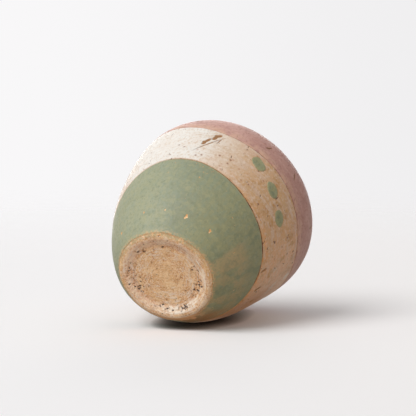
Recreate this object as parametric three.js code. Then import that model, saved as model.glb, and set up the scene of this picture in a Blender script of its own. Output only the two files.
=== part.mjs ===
import * as THREE from "three";

// Yunomi: a wheel-thrown stoneware tea cup with a turned foot and brushed slip coats.
// It stands upright. Millimetres, +Z up, origin at the centre of the foot's underside.

// Outside of the clay wall: foot and belly, the two radii that set its form
const footRadius = 19.5;
const footEdgeHeight = 0.7;
const bellyRadius = 40.85;
const bellyHeight = 59.8;

// How far the wall draws in from the belly at the heights between
const hipDrawIn = 13.05;
const hipHeight = 14;
const flankDrawIn = 6.55;
const flankHeight = 29;
const waistDrawIn = 2.75;
const waistHeight = 44.5;
const shoulderDrawIn = 0.55;
const shoulderHeight = 67.1;

// Lip: a round bead that closes the wall at the mouth
const mouthRadius = 35.4;
const mouthHeight = 70.1;
const lipRadius = 1.6;
const lipOuterTurn = 49;
const lipInnerTurn = 205;

// Inside of the clay wall
const wallThickness = 4.1;
const hipThickness = 5.2;
const floorThickness = 6;
const floorRadius = 12;
const floorRise = 0.9;

// Underside of the foot, turned out of the clay with a loop tool
const ringOuterRadius = 18.7;
const ringInnerRadius = 17.1;
const recessRadius = 14;
const recessDepth = 1.3;

// Slip and glaze coats, which lie on the clay
const coatClearance = 0.3;
const coatThickness = 0.7;
const incisedLineWidth = 1;

// Lower edge of the green coat and of the cream coat, measured up the wall from the foot
const greenLine = { height: 0.5, slant: 0.15, slantTurn: 100, wave: 0.1, waves: 5, waveTurn: 0 };
const creamLine = { height: 26, slant: 10, slantTurn: -48, wave: 1.3, waves: 3, waveTurn: 20 };

// Lower edge of the mauve coat, measured up the wall from the belly
const mauveLine = { height: -2.4, slant: 6, slantTurn: 215, wave: 0.9, waves: 4, waveTurn: 70 };

// The mauve coat ends on the inner side of the lip, where the inner glaze begins
const mauveLipOverlap = 5;
const glazeLipDrop = 1;

// Three dabs of green slip in a slanting row on the cream coat
const dabCount = 3;
const dabWidth = 8.4;
const dabHeight = 6.2;
const dabThickness = 0.5;
const dabFirstTurn = -14;
const dabTurnStep = 17;
const dabFirstHeight = 52;
const dabHeightStep = -4.5;

// Hand-thrown unevenness, shared by every piece
const wallBow = 1.05;
const wallBowTurn = -67;
const footOvalShare = 0.03;
const footOvalTurn = 37;
const footOvalFade = 24;
const bodyOvalShare = 0.007;
const bodyOvalTurn = -55;
const lipWave = 0.6;
const lipWaveTurn = -49;

// Fineness of the curved faces
const columns = 54;
const spanSteps = 30;
const outerRows = 18;
const innerLipRows = 3;
const innerRows = 11;
const lipRows = 6;
const greenRows = 6;
const creamRows = 10;
const mauveRows = [6, lipRows, 2];
const dabRings = 3;
const dabSides = 16;

const { degToRad, lerp, smoothstep } = THREE.MathUtils;
const fullTurn = 2 * Math.PI;

// Moves a point of the true round form to its place on the uneven, hand-thrown one.
function thrown(radius, angle, height) {
  const low = 1 - smoothstep(height, 0, footOvalFade);
  const footOval = footOvalShare * low * Math.cos(2 * (angle - degToRad(footOvalTurn)));
  const bodyOval = bodyOvalShare * (1 - low) * Math.cos(2 * (angle - degToRad(bodyOvalTurn)));
  const uneven = radius * (1 + footOval + bodyOval);
  const bow = wallBow * Math.sin((Math.PI * height) / bellyHeight);
  const bowAngle = degToRad(wallBowTurn);
  const lift = lipWave * smoothstep(height, bellyHeight, mouthHeight + lipRadius);
  return [
    uneven * Math.cos(angle) + bow * Math.cos(bowAngle),
    uneven * Math.sin(angle) + bow * Math.sin(bowAngle),
    height + lift * Math.cos(2 * (angle - degToRad(lipWaveTurn))),
  ];
}

// The wall's outline: up the outside from the foot, over the lip and down to the floor's centre.
function lipPoint(turn) {
  return new THREE.Vector2(
    mouthRadius + lipRadius * Math.cos(degToRad(turn)),
    mouthHeight + lipRadius * Math.sin(degToRad(turn)),
  );
}

const hipRadius = bellyRadius - hipDrawIn;
const flankRadius = bellyRadius - flankDrawIn;
const waistRadius = bellyRadius - waistDrawIn;
const shoulderRadius = bellyRadius - shoulderDrawIn;

const belly = new THREE.Vector2(bellyRadius, bellyHeight);
const outerWall = new THREE.SplineCurve([
  new THREE.Vector2(footRadius, footEdgeHeight),
  new THREE.Vector2(hipRadius, hipHeight),
  new THREE.Vector2(flankRadius, flankHeight),
  new THREE.Vector2(waistRadius, waistHeight),
  belly,
  new THREE.Vector2(shoulderRadius, shoulderHeight),
  lipPoint(lipOuterTurn),
]);

const lip = new THREE.EllipseCurve(
  mouthRadius,
  mouthHeight,
  lipRadius,
  lipRadius,
  degToRad(lipOuterTurn),
  degToRad(lipInnerTurn),
);

const floorHeight = recessDepth + floorThickness;
const innerWall = new THREE.SplineCurve([
  lipPoint(lipInnerTurn),
  new THREE.Vector2(shoulderRadius - wallThickness, shoulderHeight - wallThickness / 2),
  new THREE.Vector2(bellyRadius - wallThickness, bellyHeight - wallThickness / 2),
  new THREE.Vector2(waistRadius - wallThickness, waistHeight),
  new THREE.Vector2(flankRadius - wallThickness, flankHeight),
  new THREE.Vector2(hipRadius - hipThickness, hipHeight + hipThickness / 2),
  new THREE.Vector2(floorRadius, floorHeight + floorRise),
  new THREE.Vector2(0, floorHeight),
]);

const wallOutline = new THREE.CurvePath();
wallOutline.add(outerWall);
wallOutline.add(lip);
wallOutline.add(innerWall);

const outerLength = outerWall.getLength();
const spans = outerWall.points.length - 1;
const bellySpan = outerWall.points.indexOf(belly);
const bellyDistance = outerWall.getLengths(spans * spanSteps)[bellySpan * spanSteps];
const lipEnd = outerLength + lip.getLength();
const wallLength = wallOutline.getLength();
const mauveEnd = lipEnd + mauveLipOverlap;
const glazeStart = mauveEnd + glazeLipDrop;

// A point on the wall's outline, given how far along it and how far out from the clay it lies.
function wallPoint(distance, offset) {
  const share = distance / wallLength;
  const point = wallOutline.getPoint(share);
  const tangent = wallOutline.getTangent(share);
  return new THREE.Vector2(point.x + offset * tangent.y, point.y - offset * tangent.x);
}

// Distance up the wall of a coat's edge at one angle: a slanting line with soft waves.
function edgeDistance(start, line, angle) {
  const slant = line.slant * Math.cos(angle - degToRad(line.slantTurn));
  const wave = line.wave * Math.sin(line.waves * (angle - degToRad(line.waveTurn)));
  return start + slant + wave;
}

// Joins one section per column into a closed ring. An open section starts and ends on the axis.
function loft(sectionAt, closed) {
  const positions = [];
  const indices = [];
  const count = sectionAt(0).length;
  for (let column = 0; column < columns; column++) {
    const angle = (column / columns) * fullTurn;
    for (const point of sectionAt(angle)) {
      positions.push(...thrown(point.x, angle, point.y));
    }
  }
  for (let column = 0; column < columns; column++) {
    const here = column * count;
    const next = ((column + 1) % columns) * count;
    for (let row = 0; row < (closed ? count : count - 1); row++) {
      const above = (row + 1) % count;
      const startsOnAxis = !closed && row === 0;
      const endsOnAxis = !closed && above === count - 1;
      if (!startsOnAxis) {
        indices.push(here + row, next + row, here + above);
      }
      if (!endsOnAxis) {
        indices.push(next + row, next + above, here + above);
      }
    }
  }
  return meshGeometry(positions, indices);
}

function meshGeometry(positions, indices) {
  const geometry = new THREE.BufferGeometry();
  geometry.setAttribute("position", new THREE.Float32BufferAttribute(positions, 3));
  geometry.setIndex(indices);
  geometry.computeVertexNormals();
  return geometry;
}

// Points along the wall's outline through each stop, with a count of rows from each stop to the next.
function wallStretch(stops, rowCounts, offset) {
  const points = [wallPoint(stops[0], offset)];
  rowCounts.forEach((rows, stretch) => {
    for (let row = 1; row <= rows; row++) {
      points.push(wallPoint(lerp(stops[stretch], stops[stretch + 1], row / rows), offset));
    }
  });
  return points;
}

// Clay body: turned foot, thrown wall, lip and floor in one solid
function clayBody() {
  const underside = [
    new THREE.Vector2(0, recessDepth),
    new THREE.Vector2(recessRadius, recessDepth),
    new THREE.Vector2((recessRadius + ringInnerRadius) / 2, recessDepth / 2),
    new THREE.Vector2(ringInnerRadius, 0),
    new THREE.Vector2(ringOuterRadius, 0),
  ];
  const outside = outerWall.getPoints(outerRows);
  const bead = lip.getSpacedPoints(lipRows).slice(1);
  const inside = wallStretch([lipEnd, glazeStart, wallLength], [innerLipRows, innerRows], 0);
  const section = [...underside, ...outside, ...bead, ...inside.slice(1)];
  return loft(() => section, false);
}

// A coat that rings the wall. Its stops at one angle run from its lower edge to its upper one.
function ringCoat(stopsAt, rowCounts) {
  return loft((angle) => {
    const stops = stopsAt(angle);
    const face = wallStretch(stops, rowCounts, coatClearance + coatThickness);
    const back = wallStretch(stops, rowCounts, coatClearance);
    return [...face, ...back.reverse()];
  }, true);
}

// Glaze that lines the inside from below the lip to the centre of the floor
function innerGlaze() {
  const stops = [glazeStart, wallLength];
  const face = wallStretch(stops, [innerRows], coatClearance + coatThickness);
  const back = wallStretch(stops, [innerRows], coatClearance);
  face[innerRows].x = 0;
  back[innerRows].x = 0;
  const section = [...back.reverse(), ...face];
  return loft(() => section, false);
}

// A dab of slip: a low dome with an oval outline, lying on the cream coat
function slipDab(turn, distance) {
  const seat = 2 * coatClearance + coatThickness;
  const seatRadius = wallPoint(distance, seat).x;
  const positions = [];
  const indices = [];
  function place(across, up, offset) {
    const point = wallPoint(distance + up, offset);
    const angle = degToRad(turn) + across / seatRadius;
    positions.push(...thrown(point.x, angle, point.y));
  }
  function ring(share, offset) {
    for (let side = 0; side < dabSides; side++) {
      const angle = (side / dabSides) * fullTurn;
      const across = (dabWidth / 2) * share * Math.cos(angle);
      const up = (dabHeight / 2) * share * Math.sin(angle);
      place(across, up, offset);
    }
  }
  for (let step = dabRings; step >= 1; step--) {
    ring(step / dabRings, seat);
  }
  place(0, 0, seat);
  const backCentre = dabRings * dabSides;
  const faceStart = backCentre + 1;
  for (let step = dabRings; step >= 1; step--) {
    const share = step / dabRings;
    ring(share, seat + dabThickness * (1 - 0.5 * share * share));
  }
  place(0, 0, seat + dabThickness);
  const faceCentre = faceStart + dabRings * dabSides;
  function band(outer, inner, facesOut) {
    for (let side = 0; side < dabSides; side++) {
      const next = (side + 1) % dabSides;
      const quad = [outer + side, outer + next, inner + next, inner + side];
      if (!facesOut) {
        quad.reverse();
      }
      indices.push(quad[0], quad[1], quad[2], quad[0], quad[2], quad[3]);
    }
  }
  function cap(outer, centre, facesOut) {
    for (let side = 0; side < dabSides; side++) {
      const next = (side + 1) % dabSides;
      const first = facesOut ? side : next;
      const second = facesOut ? next : side;
      indices.push(outer + first, outer + second, centre);
    }
  }
  for (let step = 0; step < dabRings - 1; step++) {
    band(faceStart + step * dabSides, faceStart + (step + 1) * dabSides, true);
    band(step * dabSides, (step + 1) * dabSides, false);
  }
  cap(faceCentre - dabSides, faceCentre, true);
  cap(backCentre - dabSides, backCentre, false);
  band(0, faceStart, true);
  return meshGeometry(positions, indices);
}

const bareClay = new THREE.MeshStandardMaterial({ color: "#cda57d", roughness: 0.85, metalness: 0 });
const greenSlip = new THREE.MeshStandardMaterial({ color: "#929b77", roughness: 0.6, metalness: 0 });
const creamSlip = new THREE.MeshStandardMaterial({ color: "#dfcdb2", roughness: 0.6, metalness: 0 });
const mauveSlip = new THREE.MeshStandardMaterial({ color: "#b08a84", roughness: 0.6, metalness: 0 });
const clearGlaze = new THREE.MeshStandardMaterial({ color: "#e6dcc6", roughness: 0.3, metalness: 0 });

const cup = new THREE.Group();

function addPiece(name, geometry, material) {
  const piece = new THREE.Mesh(geometry, material.clone());
  piece.name = name;
  cup.add(piece);
}

const halfLine = incisedLineWidth / 2;
const greenEdge = (angle) => edgeDistance(greenLine.height, greenLine, angle);
const creamEdge = (angle) => edgeDistance(creamLine.height, creamLine, angle);
const mauveEdge = (angle) => edgeDistance(bellyDistance + mauveLine.height, mauveLine, angle);
const greenStops = (angle) => [greenEdge(angle), creamEdge(angle) - halfLine];
const creamStops = (angle) => [creamEdge(angle) + halfLine, mauveEdge(angle) - halfLine];
const mauveStops = (angle) => [mauveEdge(angle) + halfLine, outerLength, lipEnd, mauveEnd];

addPiece("clay_body", clayBody(), bareClay);
addPiece("green_slip_coat", ringCoat(greenStops, [greenRows]), greenSlip);
addPiece("cream_slip_coat", ringCoat(creamStops, [creamRows]), creamSlip);
addPiece("mauve_rim_coat", ringCoat(mauveStops, mauveRows), mauveSlip);
addPiece("inner_glaze", innerGlaze(), clearGlaze);
for (let dab = 0; dab < dabCount; dab++) {
  const turn = dabFirstTurn + dab * dabTurnStep;
  const distance = dabFirstHeight + dab * dabHeightStep;
  addPiece("green_dab_" + (dab + 1), slipDab(turn, distance), greenSlip);
}

export default cup;
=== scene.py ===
import math

import bpy
import numpy as np
from mathutils import Matrix, Vector


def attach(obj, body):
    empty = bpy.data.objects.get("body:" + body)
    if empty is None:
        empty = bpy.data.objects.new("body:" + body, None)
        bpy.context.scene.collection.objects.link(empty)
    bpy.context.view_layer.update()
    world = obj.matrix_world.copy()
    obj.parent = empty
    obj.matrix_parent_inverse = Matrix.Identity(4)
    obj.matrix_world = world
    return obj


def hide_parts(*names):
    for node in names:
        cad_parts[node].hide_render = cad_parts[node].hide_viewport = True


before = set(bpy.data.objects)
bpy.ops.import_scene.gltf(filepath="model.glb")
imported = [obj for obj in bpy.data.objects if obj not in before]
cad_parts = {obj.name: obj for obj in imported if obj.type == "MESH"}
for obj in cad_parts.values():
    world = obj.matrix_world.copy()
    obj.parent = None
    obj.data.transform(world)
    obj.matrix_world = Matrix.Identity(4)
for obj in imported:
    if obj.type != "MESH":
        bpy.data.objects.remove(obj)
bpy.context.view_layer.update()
print("The packed cup is loaded.")

# Lengths are in millimetres until a mesh is made. Turns are in degrees from +X towards +Y.
metresPerMillimetre = 0.001

# The thrown form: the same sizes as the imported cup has
form = {
    "footRadius": 19.5, "footEdgeHeight": 0.7,
    "bellyRadius": 40.85, "bellyHeight": 59.8,
    "hip": (13.05, 14.0),  # how far it draws in from the belly, and its height
    "flank": (6.55, 29.0),
    "waist": (2.75, 44.5),
    "shoulder": (0.55, 67.1),
    "mouthRadius": 35.4, "mouthHeight": 70.1,
    "lipRadius": 1.6, "lipTurns": (49, 205),
    "wallThickness": 4.1,
    "hipThickness": 5.2,
    "floorHeight": 7.3, "floorRadius": 12.0, "floorRise": 0.9,
    "ringOuterRadius": 18.7, "ringInnerRadius": 17.1,
    "recessRadius": 14.0, "recessDepth": 1.3,
    "lipOverlap": 5.0,  # how far the mauve coat reaches down the inner side of the lip
    "glazeDrop": 1.0,  # from there to the upper edge of the glaze
    "curveSteps": 60,  # points on each span of the outline
}

# Hand-thrown unevenness: the wall bows to one side, and the foot, the body and the lip are a little oval
uneven = {
    "bow": 1.05, "bowTurn": -67,
    "footOval": 0.03, "footOvalTurn": 37, "footOvalFade": 24,
    "bodyOval": 0.007, "bodyOvalTurn": -55,
    "lipWave": 0.6, "lipWaveTurn": -49,
}


def ramp(value, low, high):
    share = np.clip((np.asarray(value, float) - low) / (high - low), 0, 1)
    return share * share * (3 - 2 * share)


def curveThrough(points):
    points = np.array(points, float)
    last = len(points) - 1
    line = []
    for span in range(last):
        before, after = points[max(span - 1, 0)], points[min(span + 2, last)]
        start, end = points[span], points[span + 1]
        leaving, arriving = (end - before) / 2, (after - start) / 2
        t = np.linspace(0, 1, form["curveSteps"], endpoint=span == last - 1)[:, None]
        cubed = (2 * start - 2 * end + leaving + arriving) * t**3
        squared = (3 * end - 3 * start - 2 * leaving - arriving) * t**2
        line.append(cubed + squared + leaving * t + start)
    return np.concatenate(line)


def drawnIn(place):
    inset, height = form[place]
    return form["bellyRadius"] - inset, height


def lipPoint(turn):
    angle = math.radians(turn)
    radius = form["mouthRadius"] + form["lipRadius"] * math.cos(angle)
    return radius, form["mouthHeight"] + form["lipRadius"] * math.sin(angle)


def lengthAlong(line):
    return np.concatenate([[0], np.cumsum(np.hypot(*np.diff(line, axis=0).T))])


# The wall's outline: up the outside, over the lip and down to the middle of the floor
def wallOutline():
    wall, hipWall = form["wallThickness"], form["hipThickness"]
    footEdge = (form["footRadius"], form["footEdgeHeight"])
    hip, flank, waist, shoulder = (drawnIn(place) for place in ("hip", "flank", "waist", "shoulder"))
    lipStart, lipStop = form["lipTurns"]
    outside = curveThrough([footEdge, hip, flank, waist, belly, shoulder, lipPoint(lipStart)])
    lip = np.array([lipPoint(turn) for turn in np.linspace(lipStart, lipStop, form["curveSteps"])])
    inside = curveThrough([
        lipPoint(lipStop),
        (shoulder[0] - wall, shoulder[1] - wall / 2),
        (belly[0] - wall, belly[1] - wall / 2),
        (waist[0] - wall, waist[1]),
        (flank[0] - wall, flank[1]),
        (hip[0] - hipWall, hip[1] + hipWall / 2),
        (form["floorRadius"], form["floorHeight"] + form["floorRise"]),
        (0, form["floorHeight"]),
    ])
    return outside, lip, inside


belly = (form["bellyRadius"], form["bellyHeight"])
outerWall, lipArc, innerWall = wallOutline()
outline = np.concatenate([outerWall, lipArc[1:], innerWall[1:]])
outlineAhead = np.gradient(outline, axis=0)
outlineAhead /= np.hypot(*outlineAhead.T)[:, None]
outlineLength = lengthAlong(outline)

# Places on the wall, as distances from the foot's edge along the outline
bellyLength = lengthAlong(outerWall)[np.abs(outerWall - belly).sum(1).argmin()]
outerLength = lengthAlong(outerWall)[-1]
lipEnd = outerLength + lengthAlong(lipArc)[-1]
mauveEnd = lipEnd + form["lipOverlap"]
glazeStart = mauveEnd + form["glazeDrop"]
wallLength = outlineLength[-1]


def wallPoint(distance, offset):
    radius, height, ahead, rise = (
        np.interp(distance, outlineLength, column) for column in (*outline.T, *outlineAhead.T)
    )
    return radius + offset * rise, height - offset * ahead


# Between -1 and 1, with two highs across from each other, the first at a turn
def oval(angle, turn):
    return np.cos(2 * (angle - math.radians(turn)))


def thrown(radius, angle, height):
    low = 1 - ramp(height, 0, uneven["footOvalFade"])
    footOval = uneven["footOval"] * low * oval(angle, uneven["footOvalTurn"])
    bodyOval = uneven["bodyOval"] * (1 - low) * oval(angle, uneven["bodyOvalTurn"])
    wide = radius * (1 + footOval + bodyOval)
    bow = uneven["bow"] * np.sin(np.pi * height / form["bellyHeight"])
    bowAngle = math.radians(uneven["bowTurn"])
    top = form["mouthHeight"] + form["lipRadius"]
    lift = uneven["lipWave"] * ramp(height, form["bellyHeight"], top)
    x = wide * np.cos(angle) + bow * math.cos(bowAngle)
    y = wide * np.sin(angle) + bow * math.sin(bowAngle)
    z = height + lift * oval(angle, uneven["lipWaveTurn"])
    return np.stack([x, y, z], -1)


# The point at a distance along the wall, a turn round it and an offset out of it
def onWall(distance, angle, offset):
    radius, height = wallPoint(distance, offset)
    return thrown(radius, angle, height)


# Lower edge of each coat: its distance up the wall, its slant and its waves
edgeLines = {
    "green": {"up": 0.5, "slant": 0.15, "slantTurn": 100, "wave": 0.1, "waves": 5, "waveTurn": 0},
    "cream": {"up": 26, "slant": 10, "slantTurn": -48, "wave": 1.3, "waves": 3, "waveTurn": 20},
    "mauve": {"up": bellyLength - 2.4, "slant": 6, "slantTurn": 215, "wave": 0.9, "waves": 4, "waveTurn": 70},
}


def edgeAt(coat, angle):
    line = edgeLines[coat]
    slanted = line["slant"] * np.cos(angle - math.radians(line["slantTurn"]))
    waving = line["wave"] * np.sin(line["waves"] * (angle - math.radians(line["waveTurn"])))
    return line["up"] + slanted + waving


# The numbers that stir a cell's place into one that looks drawn at random
stirring = {
    "axes": (73856093, 19349663, 83492791),
    "seed": 97531,
    "again": 1274126177,
    "shifts": (13, 15),
    "whole": 0x7FFFFFFF,
    "low": 0xFFFF,
    "half": 32768,
}


# Smooth hills about `size` across, from -1 to 1, that are the same at each run
def lumps(points, size, seed):
    cell = np.asarray(points, float) / size
    low = np.floor(cell).astype(np.int64)
    part = cell - low
    part = part * part * (3 - 2 * part)
    first, second = stirring["shifts"]
    total = np.zeros(cell.shape[:-1])
    for corner in np.ndindex(2, 2, 2):
        x, y, z = np.moveaxis((low + corner) * stirring["axes"], -1, 0)
        mixed = x ^ y ^ z ^ (seed * stirring["seed"])
        mixed = ((mixed ^ (mixed >> first)) * stirring["again"]) & stirring["whole"]
        value = ((mixed ^ (mixed >> second)) & stirring["low"]) / stirring["half"] - 1
        total += value * np.prod(np.where(corner, part, 1 - part), axis=-1)
    return total


# The same hills by their height, size across and seed
def hills(points, recipe):
    height, size, seed = recipe
    return height * lumps(points, size, seed)


def ringPlaces(angle, radius):
    return np.stack([radius * np.cos(angle), radius * np.sin(angle), 0 * angle], -1)


# How the skins lie on the outline. The clay stands out from it above the foot, and each coat's back is sunk
# in the clay.
layers = {
    "clayRise": 0.65, "clayRiseReach": (0.3, 6.0),
    "coatThickness": 0.24,
    "sunk": 0.2,
    "backDrop": 0.05,
    "edgeRound": 0.4, "edgeRows": 6,
    "farOff": 2.0,  # what a field of the mesh says where the thing that it measures is not near
}


def clayLevel(distance):
    return layers["clayRise"] * ramp(distance, *layers["clayRiseReach"])


# Rows that crowd together where a coat's edge rounds off
def edgeRows():
    return layers["edgeRound"] * (1 - np.cos(np.linspace(0, np.pi / 2, layers["edgeRows"])))


def edgeRise(inset):
    share = np.clip(inset / layers["edgeRound"], 0, 1)
    return np.sqrt(1 - (1 - share) ** 2)


# Joins one section per column into a closed skin. An open section starts and ends on the axis.
def skinMesh(name, sections, closed, fields):
    columns, count = sections.shape[:2]
    if closed:
        points = sections.reshape(-1, 3)
        rows = np.arange(count)
        above = (rows + 1) % count
    else:
        poles = [sections[:, 0].mean(0), sections[:, -1].mean(0)]
        sections = sections[:, 1:-1]
        fields = {key: np.concatenate([field[:, 1:-1].ravel(), [field[0, 0], field[0, -1]]])
                  for key, field in fields.items()}
        count -= 2
        points = np.concatenate([sections.reshape(-1, 3), poles])
        rows = np.arange(count - 1)
        above = rows + 1
    here = np.arange(columns)[:, None] * count
    ahead = np.roll(np.arange(columns), -1)[:, None] * count
    quads = np.stack([here + rows, ahead + rows, ahead + above, here + above], -1).reshape(-1, 4)
    corners, sizes = [quads.ravel()], [np.full(len(quads), 4)]
    if not closed:
        first, last = columns * count, columns * count + 1
        start, end = here[:, 0], ahead[:, 0]
        corners.append(np.stack([end, start, np.full(columns, first)], -1).ravel())
        rim = count - 1
        corners.append(np.stack([start + rim, end + rim, np.full(columns, last)], -1).ravel())
        sizes += [np.full(columns, 3)] * 2
    return meshPiece(name, points, np.concatenate(corners), np.concatenate(sizes), fields)


def addPiece(name, data):
    piece = bpy.data.objects.new(name, data)
    bpy.context.scene.collection.objects.link(piece)
    return piece


def meshPiece(name, points, corners, sizes, fields):
    mesh = bpy.data.meshes.new(name)
    mesh.vertices.add(len(points))
    mesh.vertices.foreach_set("co", (points * metresPerMillimetre).astype(np.float32).ravel())
    mesh.loops.add(len(corners))
    mesh.loops.foreach_set("vertex_index", corners.astype(np.int32))
    mesh.polygons.add(len(sizes))
    starts = np.concatenate([[0], np.cumsum(sizes)[:-1]]).astype(np.int32)
    mesh.polygons.foreach_set("loop_start", starts)
    mesh.polygons.foreach_set("use_smooth", np.ones(len(sizes), bool))
    for key, field in fields.items():
        layer = mesh.attributes.new(key, "FLOAT", "POINT")
        layer.data.foreach_set("value", np.asarray(field, np.float32).ravel())
    mesh.update()
    mesh.validate()
    return addPiece(name, mesh)


# Chips, scratches and gouges are ragged ovals: turn, distance up the wall, length, width and lean
ovals = {"raggedness": 0.3, "lobes": 3, "leans": (-40, 40)}


# Distance to the nearest of some ovals, below zero inside one
def markField(angle, distance, marks):
    field = np.full(np.broadcast(angle, distance).shape, layers["farOff"])
    radius = wallPoint(distance, 0)[0]
    for turn, height, length, width, lean in marks:
        offAngle = (angle - math.radians(turn) + np.pi) % (2 * np.pi) - np.pi
        along, up = offAngle * radius, distance - height
        c, s = math.cos(math.radians(lean)), math.sin(math.radians(lean))
        across, lengthwise = along * c + up * s, up * c - along * s
        lobe = np.sin(ovals["lobes"] * np.arctan2(across, lengthwise) + turn)
        share = np.hypot(across / width, lengthwise / length) * 2
        field = np.minimum(field, (share - 1 - ovals["raggedness"] * lobe) * min(width, length) / 2)
    return field


def scattered(count, seed, distances, lengths, widths, turns=(-180, 180)):
    dice = np.random.default_rng(seed)
    return [
        (dice.uniform(*turns), dice.uniform(*distances), dice.uniform(*lengths),
         dice.uniform(*widths), dice.uniform(*ovals["leans"]))
        for _ in range(count)
    ]


# Coats of slip, brushed or dipped on over the ridges that the fingers left in throwing.
# Hills are given by their height, size across and seed.
coats = {
    "backRows": 5,
    "ringPitch": 3.1, "ringHeight": 0.024, "ringWander": (0.7, 14, 11), "ringFade": (0.4, 20, 14),
    "swell": (0.04, 5, 12), "swellSquat": 2.2,
    "grain": (0.018, 1.1, 13), "grainSquat": 1.6,
    "reliefCeiling": 0.04,
    "scarShare": 0.85,  # how much of the coat's thickness a mark takes away
    "scarEdge": (-0.12, 0.1),
    "ringRadius": 40,
    "ragged": (0.14, 3.5), "raggedFine": (0.07, 0.9),
    "raggedLine": 0.5,  # how ragged an edge is along an incised line
    "lineHalfWidth": (0.12, 0.24),
    "lineBroadTurn": 40,  # the incised lines are broadest and darkest here
    "lineWear": (0.12, 6),
    "mauveLineShare": 0.6,
    "lipEdge": (0.3, 5, 29), "lipRing": 36,
}


def raggedEdge(angle, seed, share=1):
    ring = ringPlaces(angle, coats["ringRadius"])
    return share * (hills(ring, (*coats["raggedFine"], seed)) + hills(ring, (*coats["ragged"], seed + 1)))


def lineHalfWidth(angle, seed):
    narrow, broad = coats["lineHalfWidth"]
    facing = 0.5 + 0.5 * np.cos(angle - math.radians(coats["lineBroadTurn"]))
    worn = hills(ringPlaces(angle, coats["ringRadius"]), (*coats["lineWear"], seed))
    return narrow + (broad - narrow) * facing**2 + np.maximum(worn, 0)


# Edges of two coats with a line incised between them, on side -1 below it and on side 1 above it
def besideCreamLine(angle, side):
    return edgeAt("cream", angle) + side * lineHalfWidth(angle, seed=31)


def besideMauveLine(angle, side):
    return edgeAt("mauve", angle) + side * coats["mauveLineShare"] * lineHalfWidth(angle, seed=33)


def skinRelief(place, distance):
    rings = np.sin((distance / coats["ringPitch"] + hills(place, coats["ringWander"])) * 2 * np.pi)
    fading = coats["ringFade"][0]
    strength = 1 - fading + hills(place, coats["ringFade"])
    swell = hills(place * (1, 1, coats["swellSquat"]), coats["swell"])
    grain = hills(place * (1, 1, coats["grainSquat"]), coats["grain"])
    return coats["ringHeight"] * rings * strength + swell + grain


# A raised skin with rounded edges, closed by a back that is sunk in the clay
def coatPiece(name, lower, upper, grid, marks, gouges=()):
    columns, rows = grid
    angle = np.arange(columns) / columns * 2 * np.pi
    start, end = lower(angle)[:, None], upper(angle)[:, None]
    edge, brink, sunk = layers["edgeRound"], edgeRows(), layers["sunk"]
    inner = np.linspace(0, 1, rows)[1:-1]
    middle = start + edge + (end - start - 2 * edge) * inner
    face = np.concatenate([start + brink, middle, end - brink[::-1]], 1)
    rise = edgeRise(np.minimum(face - start, end - face))
    turn = np.broadcast_to(angle[:, None], face.shape)
    scar, gouge = markField(turn, face, marks), markField(turn, face, gouges)
    lost = 1 - ramp(np.minimum(scar, gouge), *coats["scarEdge"])
    bumps = skinRelief(onWall(face, turn, clayLevel(face)), face) * rise
    thickness = layers["coatThickness"]
    offset = clayLevel(face) - sunk + (sunk + thickness * (1 - coats["scarShare"] * lost)) * rise
    ceiling = clayLevel(face) + thickness + coats["reliefCeiling"]
    front = onWall(face, turn, np.minimum(offset + bumps, ceiling))
    back = start + (end - start) * np.linspace(1, 0, coats["backRows"] + 2)[1:-1]
    behind = onWall(back, turn[:, :coats["backRows"]], clayLevel(back) - sunk - layers["backDrop"])
    off = np.full(back.shape, layers["farOff"])
    fields = {
        "scar": np.concatenate([scar, off], 1),
        "gouge": np.concatenate([gouge, off], 1),
        "fromLower": np.concatenate([face - start, back - start], 1),
        "fromUpper": np.concatenate([end - face, end - back], 1),
    }
    return skinMesh(name, np.concatenate([front, behind], 1), True, fields)


greenMarks = [
    (-56, 10.2, 0.8, 0.6, 0), (-34.5, 9.4, 2.0, 1.1, -10), (-9, 9.6, 1.7, 0.9, 20),
    (-109, 7.8, 1.3, 0.8, 0), (-78, 10.3, 0.9, 0.6, 0), (49, 27, 3.2, 0.4, 12),
] + scattered(22, seed=5, distances=(5, 34), lengths=(0.3, 1.1), widths=(0.25, 0.5))
creamMarks = [
    (8.8, 47, 2.6, 0.5, 0), (-7.5, 30, 1.3, 0.7, 20), (-5.5, 27.5, 0.9, 0.7, 0), (12.7, 45.5, 1.1, 0.6, 0),
    (32.4, 36.5, 1.2, 0.8, 30),
] + scattered(120, seed=6, distances=(22, 66), lengths=(0.5, 2.2), widths=(0.26, 0.52))
mauveMarks = scattered(34, seed=7, distances=(62, 80), lengths=(0.8, 3.4), widths=(0.25, 0.5))

# Gouges that a tool or a bit of grit tore out of the slip before the firing
creamGouges = [
    (-49.4, 50.2, 5.2, 1.6, -24), (-44.6, 55.4, 4.8, 2.2, -24), (-47.2, 48.6, 9.4, 0.42, -36),
    (-45.4, 50.2, 6.8, 0.36, -36), (48.4, 29.5, 3.4, 1.0, 8), (64.7, 28.4, 3.6, 1.1, 20),
    (78, 31, 2.6, 0.7, 10),
] + scattered(14, seed=8, distances=(30, 62), lengths=(1.2, 3.0), widths=(0.4, 0.8), turns=(70, 330))
mauveGouges = [
    (-16, 64.5, 3.2, 0.9, -40), (5.9, 65.2, 4.6, 0.7, 30), (40, 66, 3.6, 0.7, 10),
] + scattered(12, seed=9, distances=(64, 78), lengths=(1.4, 3.6), widths=(0.4, 0.8), turns=(70, 330))

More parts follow.
